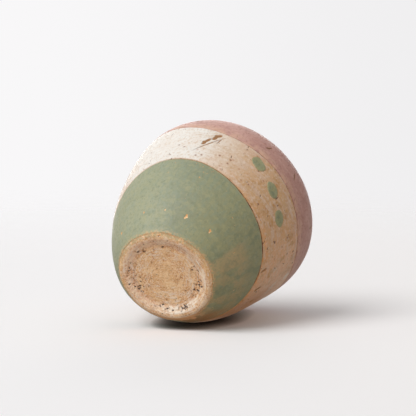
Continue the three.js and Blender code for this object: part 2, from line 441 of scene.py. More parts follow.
# Each coat's columns and rows give it under 200,000 triangles
greenCoat = coatPiece(
    "green_coat",
    lambda angle: edgeAt("green", angle) + raggedEdge(angle, seed=21),
    lambda angle: besideCreamLine(angle, -1) + raggedEdge(angle, seed=23, share=coats["raggedLine"]),
    grid=(1000, 84),
    marks=greenMarks,
)
creamCoat = coatPiece(
    "cream_coat",
    lambda angle: besideCreamLine(angle, 1) + raggedEdge(angle, seed=25, share=coats["raggedLine"]),
    lambda angle: besideMauveLine(angle, -1),
    grid=(840, 102),
    marks=creamMarks,
    gouges=creamGouges,
)
mauveCoat = coatPiece(
    "mauve_coat",
    lambda angle: besideMauveLine(angle, 1) + raggedEdge(angle, seed=27, share=coats["raggedLine"]),
    lambda angle: mauveEnd + hills(ringPlaces(angle, coats["lipRing"]), coats["lipEdge"]),
    grid=(1000, 84),
    marks=mauveMarks,
    gouges=mauveGouges,
)
print("The three slip coats are made.")

# Clay body: the turned foot, the incised lines that show between the coats, and the wall under them.
# Reaches are distances from the foot's middle.
clay = {
    "columns": 432,
    "footRows": 86,
    "footTop": 1.4,  # the foot's mesh ends this far up the wall
    "footSide": (3, 7),  # height and points of the side that the foot's outline takes in
    "wallRows": (6, 14, 16, 10, 14, 4, 6, 3, 8, 22),
    "aboveGreen": 0.9,
    "besideLine": 1.1, "besideGlaze": 0.6,
    "cornerSoftness": 0.45, "cornerStep": 0.05,
    "groove": (0.2, 0.26),  # depth and half width of an incised line
    "ridgePitch": 1.15,  # the loop tool's ridges round the foot
    "ridgeHeight": 0.022, "ridgeWander": (0.5, 9, 41), "ridgeReach": (0.5, 3),
    "ridgeFaint": (0.4, 7, 43, -0.3),  # their strength where they are faint, and where that is
    "chatterCount": 74,  # marks of the tool's chatter on the slope between recess and ring
    "chatterHeight": 0.05, "chatterWander": (0.06, 6, 42), "chatterFade": (0.5, 8, 44),
    "chatterTwist": 1.4, "chatterReach": (13.4, 14.6, 16.6, 17.6),
    "lumps": (0.06, 3.2, 45),
    "wallLumps": (0.03, 3.2, 45), "wallLumpsStart": (1.4, 2.2),
    "grain": (0.03, 0.8, 46),
    "rimLumps": (0.16, 4.2, 47), "rimGrain": (0.08, 1.6, 48), "rimReach": (18.4, 19.2),
    "pitDepth": 0.35, "pitEdge": (-0.12, 0.08),
    "ringWidening": 0.5,  # bumps stay above the table as far as this beyond the ring
    "tableGap": 0.01,
    "seamDrop": 0.15, "seamGrowth": 1.6,
    "beyondFoot": 30.0,
}

# Burnt-out grit in the foot: turn and reach of each cluster, and how many pits
pits = {
    "clusters": [
        (-168, 14.0, 26), (-150, 15.4, 9), (133, 15.6, 15), (97, 15.2, 22), (70, 14.6, 12),
        (46, 13.6, 16), (22, 13.8, 7), (-66, 13.4, 9), (-104, 14.0, 7), (-132, 14.2, 8),
    ],
    "seed": 3,
    "turnSpread": 7, "reachSpread": 0.9,
    "smallest": 0.08, "growth": 0.3,
    "rarity": 2.4,  # large pits are rarer as this grows
    "strays": 46,
    "strayReach": 18.5, "strayShares": (0.02, 1), "straySizes": (0.07, 0.2),
    "lobes": ((0.45, 2, 40), (0.25, 3, 90)),  # depth, how many, and how far a size turns them
}


def footPits():
    dice = np.random.default_rng(pits["seed"])
    found = []
    for turn, reach, count in pits["clusters"]:
        for _ in range(count):
            angle = math.radians(turn + dice.normal(0, pits["turnSpread"]))
            radius = reach + dice.normal(0, pits["reachSpread"])
            size = pits["smallest"] + pits["growth"] * dice.uniform() ** pits["rarity"]
            found.append((radius * math.cos(angle), radius * math.sin(angle), size))
    for _ in range(pits["strays"]):
        angle = dice.uniform(-np.pi, np.pi)
        radius = pits["strayReach"] * math.sqrt(dice.uniform(*pits["strayShares"]))
        found.append((radius * math.cos(angle), radius * math.sin(angle), dice.uniform(*pits["straySizes"])))
    return found


def pitField(place):
    field = np.full(place.shape[:-1], layers["farOff"])
    for x, y, size in footPits():
        turn = np.arctan2(place[..., 1] - y, place[..., 0] - x)
        ragged = 1 + sum(depth * np.sin(many * turn + phase * size) for depth, many, phase in pits["lobes"])
        field = np.minimum(field, np.hypot(place[..., 0] - x, place[..., 1] - y) - size * ragged)
    return field


# The foot's outline from its middle to the side, with its corners worn round, and where the side starts on it
def footLine():
    ring, inner = form["ringOuterRadius"], form["ringInnerRadius"]
    recess, depth = form["recessRadius"], form["recessDepth"]
    height, count = clay["footSide"]
    up = np.linspace(0, height, count)
    side = np.stack(wallPoint(up, clayLevel(up)), 1)
    corners = [(0, depth), (recess, depth), ((recess + inner) / 2, depth / 2), (inner, 0), (ring, 0)]
    line = np.concatenate([corners, side])
    length = lengthAlong(line)
    step, softness = clay["cornerStep"], clay["cornerSoftness"]
    even = np.arange(0, length[-1], step)
    dense = np.stack([np.interp(even, length, column) for column in line.T], 1)
    reach = int(3 * softness / step)
    weights = np.exp(-0.5 * (np.arange(-reach, reach + 1) * step / softness) ** 2)
    weights /= weights.sum()
    padded = np.pad(dense, ((reach, reach), (0, 0)), mode="reflect", reflect_type="odd")
    soft = np.stack([np.convolve(column, weights, "valid") for column in padded.T], 1)
    sideStart = length[len(corners)]
    share = np.linspace(0, sideStart + clay["footTop"], clay["footRows"])
    return np.stack([np.interp(share, even, column) for column in soft.T], 1), sideStart


def footBumps(radius, turn, flat):
    wander = hills(flat, clay["ridgeWander"])
    ridges = np.sin((radius / clay["ridgePitch"] + wander) * 2 * np.pi) * ramp(radius, *clay["ridgeReach"])
    faint, size, seed, level = clay["ridgeFaint"]
    ridges *= np.where(lumps(flat, size, seed) > level, 1, faint)
    start, full, fading, end = clay["chatterReach"]
    slope = ramp(radius, start, full) * (1 - ramp(radius, fading, end))
    wander = hills(flat, clay["chatterWander"])
    chatter = np.sin(clay["chatterCount"] * (turn + wander) + radius * clay["chatterTwist"])
    fading = 1 - clay["chatterFade"][0] + hills(flat, clay["chatterFade"])
    rim = ramp(radius, *clay["rimReach"]) * (hills(flat, clay["rimLumps"]) + hills(flat, clay["rimGrain"]))
    bumps = clay["ridgeHeight"] * ridges + clay["chatterHeight"] * chatter * slope * fading
    return bumps + hills(flat, clay["lumps"]) + hills(flat, clay["grain"]) + rim


def footSkin(angle):
    line, sideStart = footLine()
    ahead = np.gradient(line, axis=0)
    ahead /= np.hypot(*ahead.T)[:, None]
    turn = np.broadcast_to(angle, (len(angle), len(line)))
    radius, height = line.T
    flat = thrown(radius, turn, height)
    pit = pitField(flat)
    bumps = footBumps(radius, turn, flat) - clay["pitDepth"] * (1 - ramp(pit, *clay["pitEdge"]))
    under = radius < form["ringOuterRadius"] + clay["ringWidening"]
    bumps = np.where(under, np.minimum(bumps, height - clay["tableGap"]), bumps)
    place = thrown(radius + bumps * ahead[:, 1], turn, np.maximum(height - bumps * ahead[:, 0], 0))
    upSide = np.linspace(-sideStart, clay["footTop"], clay["footRows"])
    seam = np.abs(upSide - edgeAt("green", angle) + clay["seamDrop"]) * clay["seamGrowth"]
    off = np.full(pit.shape, layers["farOff"])
    seam = np.minimum(seam, layers["farOff"])
    return place, {"pit": pit, "line": off, "seam": seam, "reach": np.broadcast_to(radius, pit.shape)}


# Rows that stand closer beside the incised lines and the edges
def wallRows(angle):
    green, cream, mauve = (edgeAt(coat, angle) for coat in ("green", "cream", "mauve"))
    near, beside = clay["besideLine"], clay["besideGlaze"]
    stops = [
        clay["footTop"], green + clay["aboveGreen"], cream - near, cream + near, mauve - near, mauve + near,
        outerLength, lipEnd, mauveEnd - beside, glazeStart + beside, wallLength,
    ]
    rows = [start + (end - start) * np.arange(1, count + 1) / count
            for start, end, count in zip(stops, stops[1:], clay["wallRows"])]
    return np.concatenate([np.broadcast_to(part, (len(angle), part.shape[-1])) for part in rows], 1)


def wallSkin(angle):
    distance = wallRows(angle)
    turn = np.broadcast_to(angle, distance.shape)
    cream, mauve = edgeAt("cream", angle), edgeAt("mauve", angle)
    line = np.minimum(np.abs(distance - cream), np.abs(distance - mauve))
    depth, halfWidth = clay["groove"]
    groove = depth * np.exp(-((line / halfWidth) ** 2))
    smooth = onWall(distance, turn, clayLevel(distance))
    rough = hills(smooth, clay["wallLumps"]) + hills(smooth, clay["grain"])
    rough *= ramp(distance, *clay["wallLumpsStart"])
    off = np.full(distance.shape, layers["farOff"])
    line = np.minimum(line, layers["farOff"])
    fields = {"pit": off, "line": line, "seam": off, "reach": np.full(distance.shape, clay["beyondFoot"])}
    return onWall(distance, turn, clayLevel(distance) - groove + rough), fields


def clayPiece():
    angle = np.arange(clay["columns"])[:, None] / clay["columns"] * 2 * np.pi
    foot, footFields = footSkin(angle)
    side, sideFields = wallSkin(angle)
    fields = {key: np.concatenate([footFields[key], sideFields[key]], 1) for key in footFields}
    return skinMesh("turned_clay", np.concatenate([foot, side], 1), False, fields)


clayCup = clayPiece()
print("The clay body is made.")

# Pale glaze that lines the inside, up to about where the mauve coat ends, with an edge that wanders
lining = {
    "columns": 640, "rows": 130, "backRows": 12,
    "thickness": 0.24, "overlap": 0.7,
    "edgeWander": (0.35, 7, 51), "edgeRing": 36,
    "reliefShare": 0.9,
    "calmReach": (0.5, 5),  # the ridges die out this far from the middle of the floor
}


def liningPiece():
    angle = np.arange(lining["columns"]) / lining["columns"] * 2 * np.pi
    wander = hills(ringPlaces(angle, lining["edgeRing"]), lining["edgeWander"])
    start = (glazeStart - lining["overlap"] + wander)[:, None]
    edge, sunk = layers["edgeRound"], layers["sunk"]
    inner = np.linspace(0, 1, lining["rows"])[1:]
    face = np.concatenate([start + edgeRows(), start + edge + (wallLength - start - edge) * inner], 1)
    turn = np.broadcast_to(angle[:, None], face.shape)
    place = onWall(face, turn, clayLevel(face))
    calm = ramp(np.hypot(place[..., 0], place[..., 1]), *lining["calmReach"])
    offset = clayLevel(face) - sunk + (sunk + lining["thickness"]) * edgeRise(face - start)
    front = onWall(face, turn, offset + lining["reliefShare"] * calm * skinRelief(place, face))
    back = start + (wallLength - start) * np.linspace(1, 0, lining["backRows"])
    behind = onWall(back, turn[:, :lining["backRows"]], clayLevel(back) - sunk - layers["backDrop"])
    fields = {"fromLower": np.concatenate([back * 0, face - start], 1)}
    return skinMesh("glaze_lining", np.concatenate([behind, front], 1), False, fields)


glazeLining = liningPiece()
print("The inner glaze is made.")

# Three dabs of green slip in a slanting row, each pressed on with a loaded round brush
dabs = {
    "count": 3,
    "width": 8.4, "height": 6.2, "thickness": 0.16, "lean": -24,
    "firstTurn": -14, "turnStep": 17,
    "firstHeight": 52, "heightStep": -4.5,
    "sides": 160, "rings": 34, "backRings": 7,
    "crowding": 0.7,  # rings stand closer at the rim as this falls
    "size": 0.91, "wobble": (0.09, 3.5, 61), "fineWobble": (0.0315, 0.9, 62), "wobbleRing": 5,
    "apart": 20,  # how far the dabs lie apart in the wobble, so that no two are alike
    "flatness": 8,
    "rimSwell": 0.25,  # slip gathers at the rim
    "grain": (0.02, 1.4, 63),
    "rimSunk": 0.12, "backSunk": 0.2,
}


def dabPiece(number):
    distance = dabs["firstHeight"] + number * dabs["heightStep"]
    seatRadius = wallPoint(distance, layers["clayRise"])[0]
    angle = np.arange(dabs["sides"])[:, None] / dabs["sides"] * 2 * np.pi
    backShare = np.arange(dabs["backRings"]) / dabs["backRings"]
    share = np.concatenate([backShare, np.linspace(1, 0, dabs["rings"]) ** dabs["crowding"]])
    ring = ringPlaces(angle, dabs["wobbleRing"]) + dabs["apart"] * number
    reach = share * (dabs["size"] + hills(ring, dabs["wobble"]) + hills(ring, dabs["fineWobble"]))
    lean = math.radians(dabs["lean"])
    along = dabs["width"] / 2 * reach * np.cos(angle)
    rise = dabs["height"] / 2 * reach * np.sin(angle)
    up = distance + along * math.sin(lean) + rise * math.cos(lean)
    across = along * math.cos(lean) - rise * math.sin(lean)
    turn = math.radians(dabs["firstTurn"] + number * dabs["turnStep"]) + across / seatRadius
    level = clayLevel(distance) + layers["coatThickness"]
    place = onWall(up, turn, level)
    bumps = skinRelief(place, up) + hills(place, dabs["grain"])
    dome = np.sqrt(1 - share ** dabs["flatness"]) * (1 + dabs["rimSwell"] * share**2)
    front = level + bumps + dabs["thickness"] * dome - dabs["rimSunk"] * (1 - dome)
    onFace = np.arange(len(share)) >= dabs["backRings"]
    place = onWall(up, turn, np.where(onFace, front, level - dabs["backSunk"]))
    inset = (1 - share) * dabs["height"] / 2 * np.ones_like(angle)
    fields = {"scar": np.full(inset.shape, layers["farOff"]), "fromLower": inset, "fromUpper": inset}
    return skinMesh(f"slip_dab_{number + 1}", place, False, fields)


slipDabs = [dabPiece(number) for number in range(dabs["count"])]
print("The dabs are made.")


def linearColour(text):
    shares = [int(text[start:start + 2], 16) / 255 for start in (1, 3, 5)]
    linear = [s / 12.92 if s <= 0.04045 else ((s + 0.055) / 1.055) ** 2.4 for s in shares]
    return (*linear, 1)


# An input takes a value, a socket, or a node, whose first output it then gets
def addNode(tree, kind, inputs=None, **settings):
    node = tree.nodes.new("ShaderNode" + kind)
    for name, value in settings.items():
        setattr(node, name, value)
    for name, value in (inputs or {}).items():
        if isinstance(value, bpy.types.Node):
            value = value.outputs[0]
        if isinstance(value, bpy.types.NodeSocket):
            tree.links.new(value, node.inputs[name])
        else:
            node.inputs[name].default_value = value
    return node


# The node tree of a material or a world, with nothing in it
def emptyTree(owner):
    owner.use_nodes = True
    owner.node_tree.nodes.clear()
    return owner.node_tree


# Each finish below is a base colour with washes over it. A wash is a colour, its strength and the masks that
# it lies through. A mask goes from 0 to 1 as what it measures goes from its first level to its second:
#   patches: millimetres across, levels, seed. They are longer along an axis where `squeeze` is under 1, and
#     follow the rings that the turning left where `along` says so.
#   side: turn, levels. It is how far the surface faces that turn, from -1 on the far side to 1.
#   specks: millimetres from one place to the next, size, share of the places that have a speck
#   height: levels, in millimetres above the foot
#   either: two masks, of which the stronger one counts
# Any other kind is a field of the mesh, with levels in millimetres, such as how far the coat's lower edge is.
# A measure with a `waver` goes up by a mask times a number of millimetres.
# The render shows about 0.4 mm as one pixel, so grit and grain of 0.1 to 0.3 mm is drawn 0.5 to 1 mm across.
noise = {"roughness": 0.6, "detail": 4, "seedSteps": (17.3, 31.1, 7.7)}
speckEdge = (0.6, 0.3)  # shares of a speck's size where it starts and where it is full
mixSockets = {"share": 0, "under": 6, "over": 7, "colour": 2}  # of a Mix node that mixes colours


def addPlaces(tree, look):
    inMetres = addNode(tree, "TexCoord").outputs["Object"]
    surface = addNode(tree, "VectorMath", {0: inMetres, "Scale": 1 / metresPerMillimetre}, operation="SCALE")
    level = addNode(tree, "VectorMath", {0: surface, 1: (1, 1, 0)}, operation="MULTIPLY")
    outwards = addNode(tree, "VectorMath", {0: level}, operation="NORMALIZE")
    places = {"surface": surface, "outwards": outwards}
    if "ringRadius" in look:
        reach = addNode(tree, "Attribute", attribute_name="reach").outputs["Fac"]
        rings = {0: outwards, 1: [look["ringRadius"]] * 3, 2: addNode(tree, "CombineXYZ", {"Z": reach})}
        places["rings"] = addNode(tree, "VectorMath", rings, operation="MULTIPLY_ADD")
    return places


def addMask(tree, places, masks, recipe):
    if isinstance(recipe, str):
        return masks[recipe]
    kind, *values = recipe
    extra = values.pop() if isinstance(values[-1], dict) else {}
    if kind == "either":
        first, second = (addMask(tree, places, masks, each) for each in values)
        return addNode(tree, "Math", {0: first, 1: second}, operation="MAXIMUM")
    if kind == "patches":
        size, low, high, seed = values
        place, squeeze = places[extra.get("along", "surface")], extra.get("squeeze", (1, 1, 1))
        shift = [seed * step for step in noise["seedSteps"]]
        moved = addNode(tree, "VectorMath", {0: place, 1: squeeze, 2: shift}, operation="MULTIPLY_ADD")
        measure = addNode(tree, "TexNoise", {
            "Vector": moved,
            "Scale": 1 / size,
            "Detail": extra.get("detail", noise["detail"]),
            "Roughness": noise["roughness"],
        })
    elif kind == "side":
        turn, low, high = values
        way = (math.cos(math.radians(turn)), math.sin(math.radians(turn)), 0)
        facing = addNode(tree, "VectorMath", {0: places["outwards"], 1: way}, operation="DOT_PRODUCT")
        measure = facing.outputs["Value"]
    elif kind == "specks":
        spacing, size, share = values
        low, high = (edge * size / spacing for edge in speckEdge)
        measure = addNode(tree, "TexVoronoi", {"Vector": places["surface"], "Scale": 1 / spacing})
        drawn = addNode(tree, "SeparateColor", {0: measure.outputs["Color"]})
        kept = addNode(tree, "Math", {0: drawn, 1: share}, operation="LESS_THAN")
    elif kind == "height":
        low, high = values
        measure = addNode(tree, "SeparateXYZ", {0: places["surface"]}).outputs["Z"]
    else:
        low, high = values
        measure = addNode(tree, "Attribute", attribute_name=kind).outputs["Fac"]
    if "waver" in extra:
        wavering, depth = extra["waver"]
        wavering = addMask(tree, places, masks, wavering)
        measure = addNode(tree, "Math", {0: wavering, 1: depth, 2: measure}, operation="MULTIPLY_ADD")
    levels = {"Value": measure, "From Min": low, "From Max": high}
    mask = addNode(tree, "MapRange", levels, interpolation_type="SMOOTHSTEP")
    if kind == "specks":
        mask = addNode(tree, "Math", {0: mask, 1: kept}, operation="MULTIPLY")
    return mask


# How strong a wash or a bump is where all of its masks lie over each other
def overlap(tree, places, masks, recipes, strength):
    for recipe in recipes:
        mask = addMask(tree, places, masks, recipe)
        strength = addNode(tree, "Math", {0: strength, 1: mask}, operation="MULTIPLY")
    return strength


def makeFinish(look):
    material = bpy.data.materials.new(look["name"])
    tree = emptyTree(material)
    places, masks = addPlaces(tree, look), {"load": look.get("load", 1)}
    for name, recipe in look["masks"].items():
        masks[name] = addMask(tree, places, masks, recipe)
    colour = linearColour(look["colour"])
    for tint, strength, *recipes in look["washes"]:
        wash = addNode(tree, "Mix", {
            mixSockets["share"]: overlap(tree, places, masks, recipes, strength),
            mixSockets["under"]: colour,
            mixSockets["over"]: linearColour(look[tint]),
        }, data_type="RGBA")
        colour = wash.outputs[mixSockets["colour"]]
    smooth, rough = look["roughness"]
    sheen = {"Value": masks[look["sheenFollows"]], "To Min": smooth, "To Max": rough}
    bump = {"Strength": 1}
    for height, *recipes in look["bumps"]:
        bump["Distance"] = abs(height) * metresPerMillimetre
        bump["Height"] = overlap(tree, places, masks, recipes, 1)
        bump["Normal"] = addNode(tree, "Bump", bump, invert=height < 0)
    shader = addNode(tree, "BsdfPrincipled", {
        "Base Color": colour,
        "Roughness": addNode(tree, "MapRange", sheen),
        "IOR": look["ior"],
        "Normal": bump["Normal"],
    })
    addNode(tree, "OutputMaterial", {"Surface": shader})
    return material


# Stoneware clay, turned with a loop tool and fired without glaze: dry, toasted and gritty, with fine rings of
# paler clay that the tool dragged round the foot
bareClay = {
    "name": "turned_stoneware", "ior": 1.5, "roughness": (0.78, 0.92), "sheenFollows": "grain",
    "ringRadius": 1.6,  # patches along the rings are drawn out further as this falls
    "colour": "#e9c49b", "toast": "#cf9a63", "gold": "#dcae74", "straw": "#efc996", "pink": "#ecccb3",
    "rust": "#c68450", "lilac": "#ecdccd", "grain": "#a6713f", "pale": "#f6deba", "ash": "#f7ecdc",
    "trace": "#a09675", "burnt": "#3c3639", "stain": "#6a3c27", "faintStain": "#a9794c",
    "masks": {
        "offFloor": ("reach", 13.4, 14.6),
        "offRing": ("reach", 17.9, 16.9),
        "offMiddle": ("reach", 6, 9),
        "rim": ("reach", 17.9, 18.9),
        "streaks": ("patches", 0.7, 0.48, 0.58, 1, {"along": "rings"}),
        "streakBreaks": ("patches", 2.4, 0.4, 0.55, 10),
        "grain": ("patches", 1.0, 0.5, 0.66, 2, {"detail": 5}),
        "fine": ("patches", 0.8, 0.5, 0.64, 4, {"detail": 5}),
        "gritty": ("patches", 4.5, 0.42, 0.56, 16),
        "grit": ("patches", 0.55, 0.5, 0.6, 11, {"detail": 2}),
        "line": ("line", 0.75, 0.2),
    },
    "washes": [
        ("straw", 0.4, ("reach", 13.6, 12.6)),
        ("toast", 0.4, ("patches", 5.5, 0.44, 0.6, 17)),
        ("toast", 0.45, ("patches", 2.6, 0.46, 0.62, 6)),
        # Pale pink on the recess slope at the upper left: partly the clay's own pinkish streaks, partly
        # painted light that lifts the slope's shade
        ("pink", 0.85, "offFloor", "offRing", ("side", -110, -0.9, 0.4)),
        ("rust", 0.45, "offMiddle", ("patches", 0.9, 0.5, 0.64, 3, {"along": "rings"})),
        ("lilac", 0.75, "offMiddle", "streaks", "streakBreaks"),
        # Painted shade: darker orange-brown in the recess corner
        ("rust", 0.4, ("reach", 12.4, 13.4), ("reach", 15.6, 14.2), ("patches", 2.2, 0.4, 0.56, 9)),
        ("gold", 0.75, "rim"),
        ("ash", 0.55, "rim", ("side", 115, 0.1, 0.8)),
        ("grain", 0.4, "grain"),
        ("pale", 0.5, "fine"),
        ("rust", 0.75, "gritty", "grit"),
        ("pale", 0.6, ("patches", 0.6, 0.52, 0.62, 12, {"detail": 2})),
        ("lilac", 0.7, ("reach", 4, 7), ("patches", 0.5, 0.52, 0.6, 13, {"along": "rings"}),
         ("patches", 1.8, 0.46, 0.56, 14)),
        ("trace", 0.7, ("reach", 17.8, 19.2), ("side", -62, 0.1, 0.8), ("patches", 1.5, 0.36, 0.56, 15)),
        ("ash", 0.8, "offFloor", "offRing", ("patches", 0.8, 0.5, 0.6, 8, {"along": "rings"}),
         ("side", 50, -0.1, 0.8)),
        ("ash", 0.85, "offFloor", "offRing", ("side", 108, 0.7, 0.96), ("patches", 1.3, 0.45, 0.55, 5)),
        ("grain", 0.6, ("pit", 0.8, 0.05), ("patches", 1, 0.45, 0.6, 7)),
        ("faintStain", 0.45, ("seam", 0.7, 0.25)),
        ("faintStain", 0.8, "line"),
        ("stain", 0.9, "line", ("side", 40, -0.2, 0.7), ("patches", 3, 0.38, 0.52, 18)),
        ("grain", 0.55, ("specks", 1.6, 0.45, 0.16)),
        ("burnt", 0.7, ("specks", 3.3, 0.5, 0.16)),
        ("burnt", 0.92, ("pit", 0.06, -0.04)),
    ],
    "bumps": [
        (-0.06, "grain"),
        (-0.05, "gritty", "grit"),
        (0.04, "fine"),
        (0.04, "offMiddle", "streaks", "streakBreaks"),
    ],
}

# Green slip under a thin satin glaze: brushed on in a few strokes, so clay and cream show through thin places
greenSlip = {
    "name": "green_slip_glazed", "ior": 1.5, "roughness": (0.52, 0.7), "sheenFollows": "fine",
    "load": 1,  # how full the brush was
    "colour": "#81866e", "sage": "#a0a387", "shade": "#858d70", "olive": "#949166", "yellow": "#a3a078",
    "blue": "#7f8f80", "deep": "#69735a", "thin": "#b29a70", "chip": "#f0c490", "spark": "#d08f4e",
    "edge": "#a88458", "clay": "#d9a778", "scorch": "#a36f3f",
    "masks": {
        "brushUp": ("patches", 1.6, 0.46, 0.6, 2, {"squeeze": (1, 1, 0.18)}),
        "fine": ("patches", 0.9, 0.48, 0.64, 5, {"detail": 5}),
        "scar": ("scar", 0.06, -0.06),
    },
    "washes": [
        # Lighter sage on the left, the side towards the key light: partly the slip's own tone, partly painted
        # light
        ("sage", 0.85, ("side", 258, 0.5, 1.0)),
        ("shade", 0.3, ("patches", 10, 0.42, 0.62, 1)),
        # Olive towards the right: partly the slip's own tint, partly painted shade where the cup turns from
        # the light
        ("olive", 0.6, "load", ("side", 28, 0.1, 1.0)),
        ("yellow", 0.25, ("patches", 4, 0.46, 0.62, 3, {"squeeze": (0.5, 0.5, 1.4)})),
        ("blue", 0.3, "brushUp"),
        ("yellow", 0.3, ("patches", 1.8, 0.5, 0.64, 4)),
        ("deep", 0.5, ("side", 30, 0.8, 0.97), ("patches", 4, 0.5, 0.62, 11, {"squeeze": (1, 1, 0.5)})),
        ("thin", 0.6, ("height", 22, 10), ("side", 56, 0.72, 0.9),
         ("patches", 4.5, 0.42, 0.56, 6, {"squeeze": (1, 1, 0.6)})),
        ("thin", 0.6, ("height", 19, 14), ("side", 23, 0.985, 0.995), ("patches", 3, 0.3, 0.5, 12)),
        ("shade", 0.45, "fine"),
        ("deep", 0.3, "load", ("patches", 1.6, 0.54, 0.66, 8, {"squeeze": (1, 1, 0.6)})),
        ("yellow", 0.5, ("either", ("fromLower", 1.8, 0.2), ("fromUpper", 1.2, 0.2)),
         ("patches", 1.5, 0.35, 0.6, 10)),
        ("edge", 0.7, ("either", ("fromLower", 0.4, 0.05), ("fromUpper", 0.5, 0.05)),
         ("patches", 0.9, 0.42, 0.6, 7)),
        ("clay", 0.5, ("fromLower", 1.9, 0.3), ("height", 8, 5),
         ("patches", 1.0, 0.45, 0.56, 16, {"detail": 3})),
        ("spark", 0.8, ("fromUpper", 5.5, 4.5), ("side", -44, 0.88, 0.95), ("specks", 1.2, 0.42, 0.42)),
        ("deep", 0.55, ("specks", 2.1, 0.5, 0.22)),
        ("chip", 0.95, "scar"),
        ("spark", 0.75, "scar", ("patches", 4, 0.5, 0.54, 15, {"detail": 1})),
        # Painted shade: darker brown patches on the lower side, towards the table, where the cup lies in
        # shade
        ("scorch", 0.75, ("side", 100, 0.9, 0.99), ("patches", 6, 0.2, 0.56, 14, {"squeeze": (1, 1, 0.5)})),
        ("clay", 0.9, ("side", 132, 0.62, 0.82),
         ("fromLower", 6.2, 5.2, {"waver": (("patches", 3, 0.3, 0.7, 13), 4)})),
    ],
    "bumps": [(0.022, "fine"), (0.014, "brushUp")],
}
thickGreenSlip = {**greenSlip, "name": "thick_green_slip_glazed", "load": 1.6}

# Cream slip under a thin satin glaze: nearly white where it is thick, toasted tan where the flame reached it.
# The tan that deepens towards the right is partly painted shade, and the brown on the lower side is painted
# shade.
creamSlip = {
    "name": "cream_slip_glazed", "ior": 1.5, "roughness": (0.5, 0.7), "sheenFollows": "grain",
    "colour": "#e6e2db", "toast": "#cba071", "blush": "#d9b292", "ochre": "#b3803f", "orange": "#dfa36d",
    "mauve": "#b58b7d", "shade": "#c9ad8d", "pale": "#f6efe5", "lilac": "#dac6b9", "gouge": "#a8743a",
    "halo": "#a9673f", "scorch": "#a9713e", "iron": "#62402b", "fleck": "#4a3a34",
    "masks": {
        "frontSide": ("side", 10, -0.1, 0.8),
        "streaks": ("patches", 1.7, 0.5, 0.62, 4, {"squeeze": (0.2, 0.2, 1.2)}),
        "grain": ("patches", 1.0, 0.5, 0.64, 6, {"detail": 5}),
    },
    "washes": [
        # Tan towards the right: partly the slip's own toasting, partly painted shade where the cup turns from
        # the light
        ("toast", 1.0, ("side", 12, 0.36, 1.03)),
        ("blush", 0.45, ("side", 190, -0.3, 0.6), ("patches", 14, 0.42, 0.6, 1)),
        ("orange", 0.65, ("side", 66, 0.62, 1.0), ("patches", 6, 0.3, 0.5, 9)),
        ("blush", 0.25, "frontSide", ("patches", 8, 0.46, 0.62, 3)),
        ("ochre", 0.8, ("side", 24, 0.6, 0.95),
         ("patches", 5, 0.5, 0.62, 2, {"squeeze": (1, 1, 0.6), "detail": 7})),
        ("mauve", 0.5, ("fromUpper", 7, 0.5), ("side", 20, 0.5, 0.9), ("patches", 5, 0.36, 0.58, 8)),
        ("orange", 0.8, ("fromLower", 4.5, 0.3), ("side", 50, 0.3, 0.9), ("patches", 2.4, 0.36, 0.56, 11)),
        ("shade", 0.35, "streaks", "frontSide"),
        ("lilac", 0.42, ("side", 28, 0.2, 0.8),
         ("patches", 1.9, 0.52, 0.62, 5, {"squeeze": (0.2, 0.2, 1.1)})),
        ("ochre", 0.35, "frontSide", ("patches", 2.0, 0.55, 0.65, 7)),
        ("shade", 0.45, "grain"),
        ("pale", 0.2, ("patches", 1.2, 0.5, 0.62, 10, {"detail": 5})),
        # Painted shade: darker brown patches on the lower side, towards the table, where the cup lies in
        # shade
        ("scorch", 0.75, ("side", 92, 0.86, 0.99), ("height", 52, 30),
         ("patches", 9, 0.2, 0.56, 12, {"squeeze": (1, 1, 0.5)})),
        ("ochre", 0.35, ("fromLower", 0.6, 0.05)),
        ("halo", 0.4, "frontSide", ("specks", 2.4, 1.5, 0.24)),
        ("iron", 0.5, ("specks", 1.5, 0.5, 0.24)),
        ("iron", 0.8, ("specks", 2.4, 0.75, 0.24)),
        ("fleck", 0.85, ("specks", 4.3, 0.9, 0.2)),
        ("iron", 0.9, ("scar", 0.05, -0.06)),
        ("iron", 0.5, ("gouge", 0.24, 0.04)),
        ("gouge", 0.95, ("gouge", 0.03, -0.1)),
        ("fleck", 0.35, ("gouge", -0.1, -0.3)),
    ],
    "bumps": [(-0.03, "grain"), (0.015, "streaks")],
}

# Iron-tinted pink slip under a thin satin glaze: its lower edge thins out over the cream
mauveSlip = {
    "name": "mauve_slip_glazed", "ior": 1.5, "roughness": (0.5, 0.66), "sheenFollows": "fine",
    "colour": "#c99f93", "shade": "#a9786c", "deep": "#875850", "pale": "#d9b8aa", "thin": "#d3ad90",
    "iron": "#67402a", "gouge": "#7d5634",
    "masks": {
        "streaks": ("patches", 1.7, 0.5, 0.62, 2, {"squeeze": (0.35, 0.35, 1.1)}),
        "fine": ("patches", 1.0, 0.5, 0.64, 3, {"detail": 5}),
    },
    "washes": [
        # Painted shade: darker towards the right, where the cup turns away from the light
        ("shade", 0.6, ("side", 24, 0.3, 0.95)),
        ("shade", 0.4, ("patches", 11, 0.42, 0.6, 1)),
        ("pale", 0.22, "streaks"),
        ("deep", 0.32, "fine"),
        ("thin", 0.6, ("fromLower", 5, 0.2), ("patches", 3, 0.36, 0.6, 4)),
        ("deep", 0.25, ("patches", 2.0, 0.5, 0.66, 5, {"squeeze": (0.35, 0.35, 1.1)})),
        ("iron", 0.6, ("specks", 2.4, 0.6, 0.25)),
        ("iron", 0.85, ("scar", 0.05, -0.06)),
        ("gouge", 0.9, ("gouge", 0.05, -0.06)),
    ],
    "bumps": [(0.025, "fine"), (0.015, "streaks")],
}

